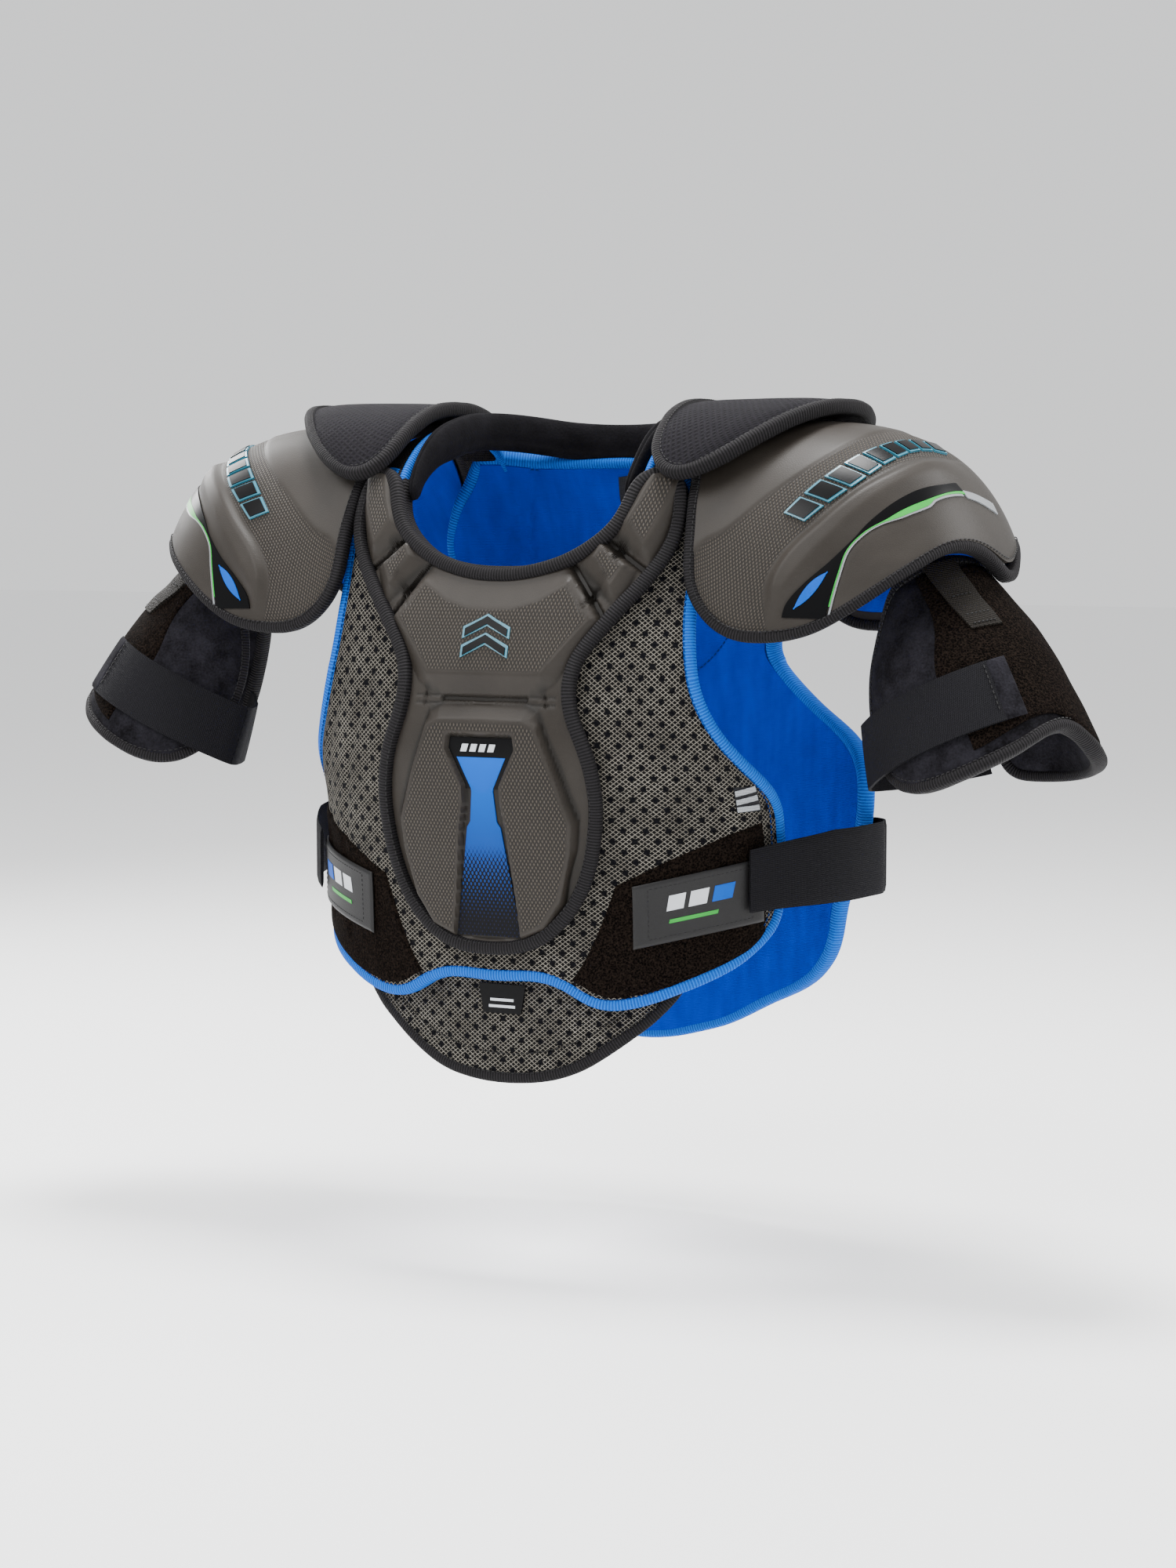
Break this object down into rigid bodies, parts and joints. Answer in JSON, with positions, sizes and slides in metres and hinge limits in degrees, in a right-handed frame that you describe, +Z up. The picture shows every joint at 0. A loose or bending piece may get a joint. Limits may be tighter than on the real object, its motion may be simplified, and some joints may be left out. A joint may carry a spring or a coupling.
{
  "type": "hockey shoulder pads",
  "caption": "Ice hockey shoulder pads: padded vest with moulded chest plate, hinged shoulder caps and flaps, upper-arm guards, a sliding belly pad and an elastic hook-and-loop belt.",
  "frame": {"origin": "middle of the torso opening, level with the lowest edge of the back panel", "axes": "+X to the wearer's left, front faces -Y, +Z up"},
  "size_m": [0.7028, 0.2557, 0.424],
  "materials": {
    "blue_lining": "brushed royal blue lining",
    "spacer_mesh": "black spacer mesh with a grey face and pressed dimples",
    "blue_binding": "ribbed bright blue binding tape",
    "moulded_foam": "compression-moulded EVA foam, fine textured tops, satin bevels",
    "black_binding": "ribbed knitted binding tape",
    "blue_badge": "moulded film badge, satin, blue over dark grey",
    "gloss_badge": "high-gloss moulded film badge",
    "fleece_loop": "short loop pile for hook tabs",
    "white_label": "woven satin label",
    "embossed_fabric": "foam-backed fabric with an embossed pattern",
    "elastic": "woven elastic",
    "neoprene": "neoprene with a knitted face",
    "black_satin": "woven satin patch and tape",
    "green_film": "green moulded film line with a silver edge",
    "webbing": "twill woven polyester webbing",
    "rubber_tab": "moulded rubber tab, matt"
  },
  "bodies": {
    "vest": {"front_lining": "blue_lining", "front_panel": "spacer_mesh", "front_binding": "blue_binding", "chest_plate": "moulded_foam", "chest_plate_binding": "black_binding", "chest_badge": "blue_badge", "chest_emblem": "gloss_badge", "loop_patch_left": "fleece_loop", "loop_patch_right": "fleece_loop", "size_label": "white_label", "yoke_left": "embossed_fabric", "yoke_right": "embossed_fabric", "back_lining": "blue_lining", "back_panel": "spacer_mesh", "back_binding": "blue_binding", "spine_plate": "moulded_foam", "spine_plate_binding": "black_binding", "belt_rear_left": "elastic", "belt_rear_right": "elastic", "collar_pad": "neoprene", "hang_loop": "black_satin", "neck_patch": "black_satin"},
    "belly_pad": {"belly_pad": "spacer_mesh", "belly_binding": "black_binding", "belly_badge": "gloss_badge"},
    "shoulder_cap_left": {"cap_shell_left": "moulded_foam", "cap_liner_left": "neoprene", "cap_binding_left": "black_binding", "cap_accent_left": "gloss_badge", "cap_stripe_left": "green_film", "cap_badge_left": "blue_badge", "cap_emblem_left": "gloss_badge"},
    "shoulder_flap_left": {"flap_left": "embossed_fabric", "flap_binding_left": "black_binding"},
    "arm_guard_left": {"guard_left": "embossed_fabric", "guard_binding_left": "black_binding", "guard_loop_left": "fleece_loop", "guard_webbing_left": "webbing", "arm_strap_left": "elastic"},
    "arm_strap_end_left": {"arm_strap_tab_left": "elastic"},
    "side_belt_left": {"belt_left": "elastic", "belt_tab_left": "rubber_tab"},
    "shoulder_cap_right": {"cap_shell_right": "moulded_foam", "cap_liner_right": "neoprene", "cap_binding_right": "black_binding", "cap_accent_right": "gloss_badge", "cap_stripe_right": "green_film", "cap_badge_right": "blue_badge", "cap_emblem_right": "gloss_badge"},
    "shoulder_flap_right": {"flap_right": "embossed_fabric", "flap_binding_right": "black_binding"},
    "arm_guard_right": {"guard_right": "embossed_fabric", "guard_binding_right": "black_binding", "guard_loop_right": "fleece_loop", "guard_webbing_right": "webbing", "arm_strap_right": "elastic"},
    "arm_strap_end_right": {"arm_strap_tab_right": "elastic"},
    "side_belt_right": {"belt_right": "elastic", "belt_tab_right": "rubber_tab"}
  },
  "joints": [
    {"name": "belly_pad_slide", "type": "slide", "parent": "vest", "child": "belly_pad", "axis": [0, 0, 1], "range_m": [0, 0.02]},
    {"name": "shoulder_cap_left_lift", "type": "hinge", "parent": "vest", "child": "shoulder_cap_left", "pos_m": [0.085, 0, 0.418], "axis": [0, -1, 0], "range_deg": [0, 30]},
    {"name": "shoulder_flap_left_lift", "type": "hinge", "parent": "shoulder_cap_left", "child": "shoulder_flap_left", "pos_m": [0.085, 0, 0.416], "axis": [0, -1, 0], "range_deg": [0, 30]},
    {"name": "arm_guard_left_swing", "type": "hinge", "parent": "shoulder_cap_left", "child": "arm_guard_left", "pos_m": [0.238, -0.006, 0.345], "axis": [0, -1, 0], "range_deg": [-8, 0]},
    {"name": "arm_strap_left_open", "type": "hinge", "parent": "arm_guard_left", "child": "arm_strap_end_left", "pos_m": [0.21927, -0.0558, 0.2087], "axis": [0.2104, -0.2315, -0.9498], "range_deg": [0, 75]},
    {"name": "side_belt_left_open", "type": "hinge", "parent": "vest", "child": "side_belt_left", "pos_m": [0.19, 0.052, 0.139], "axis": [0, 0, 1], "range_deg": [0, 80]},
    {"name": "shoulder_cap_right_lift", "type": "hinge", "parent": "vest", "child": "shoulder_cap_right", "pos_m": [-0.085, 0, 0.418], "axis": [0, 1, 0], "range_deg": [0, 30]},
    {"name": "shoulder_flap_right_lift", "type": "hinge", "parent": "shoulder_cap_right", "child": "shoulder_flap_right", "pos_m": [-0.085, 0, 0.416], "axis": [0, 1, 0], "range_deg": [0, 30]},
    {"name": "arm_guard_right_swing", "type": "hinge", "parent": "shoulder_cap_right", "child": "arm_guard_right", "pos_m": [-0.238, -0.006, 0.345], "axis": [0, 1, 0], "range_deg": [-8, 0]},
    {"name": "arm_strap_right_open", "type": "hinge", "parent": "arm_guard_right", "child": "arm_strap_end_right", "pos_m": [-0.21927, -0.0558, 0.2087], "axis": [0.2104, 0.2315, 0.9498], "range_deg": [0, 75]},
    {"name": "side_belt_right_open", "type": "hinge", "parent": "vest", "child": "side_belt_right", "pos_m": [-0.19, 0.052, 0.139], "axis": [0, 0, -1], "range_deg": [0, 80]}
  ]
}
